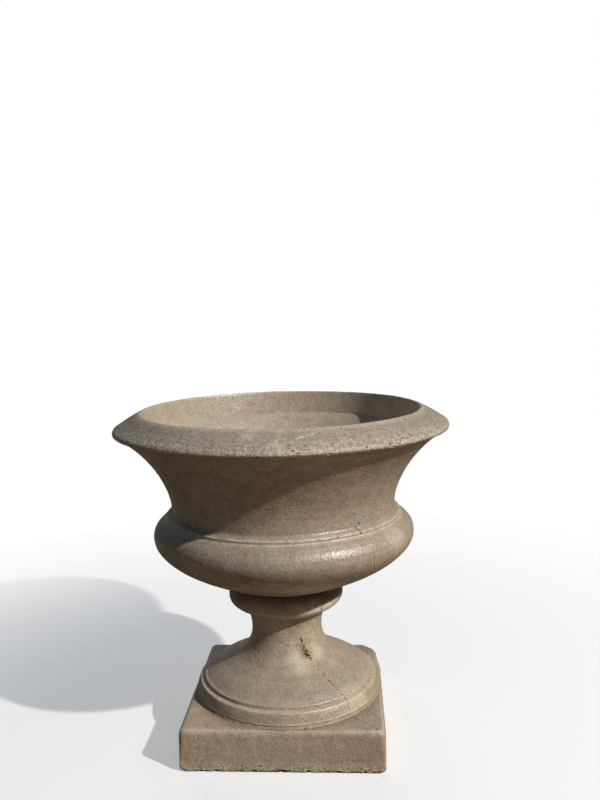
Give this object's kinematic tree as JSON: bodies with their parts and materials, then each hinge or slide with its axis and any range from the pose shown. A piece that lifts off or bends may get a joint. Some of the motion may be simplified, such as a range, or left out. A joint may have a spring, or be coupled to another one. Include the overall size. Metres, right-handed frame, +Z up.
{
  "type": "garden urn on a pedestal",
  "caption": "Round cast-stone garden urn: flared open bowl with a sloping rim, moulded pedestal foot and square plinth, drained down its axis.",
  "frame": {"origin": "centre of the plinth's underside, on the ground and on the axis of the turned pieces", "axes": "+Z up along the axis of the bowl and pedestal; -Y is the front that the picture shows; the plinth's sides run along X and Y"},
  "size_m": [0.8, 0.8, 0.8],
  "materials": {
    "bowl_stone": "weathered cast stone, matt with a slightly polished film on the worn arrises",
    "pedestal_stone": "weathered cast stone, matt",
    "plinth_stone": "weathered cast stone, matt and dusty",
    "bed_mortar": "trowelled sand and cement mortar",
    "pad_rubber": "plain black sheet rubber",
    "sleeve_plastic": "grey pipe plastic",
    "dowel_steel": "plain stainless rod"
  },
  "bodies": {
    "stand": {"plinth": "plinth_stone", "foot_mortar_bed": "bed_mortar", "foot_dowel_1": "dowel_steel", "foot_dowel_2": "dowel_steel", "foot_dowel_3": "dowel_steel", "pedestal": "pedestal_stone", "drain_sleeve": "sleeve_plastic", "bowl_setting_pad": "pad_rubber"},
    "bowl": {"bowl": "bowl_stone"}
  },
  "joints": [
    {"name": "bowl_lift", "type": "slide", "parent": "stand", "child": "bowl", "axis": [0, 0, 1], "range_m": [0, 0.15]}
  ]
}
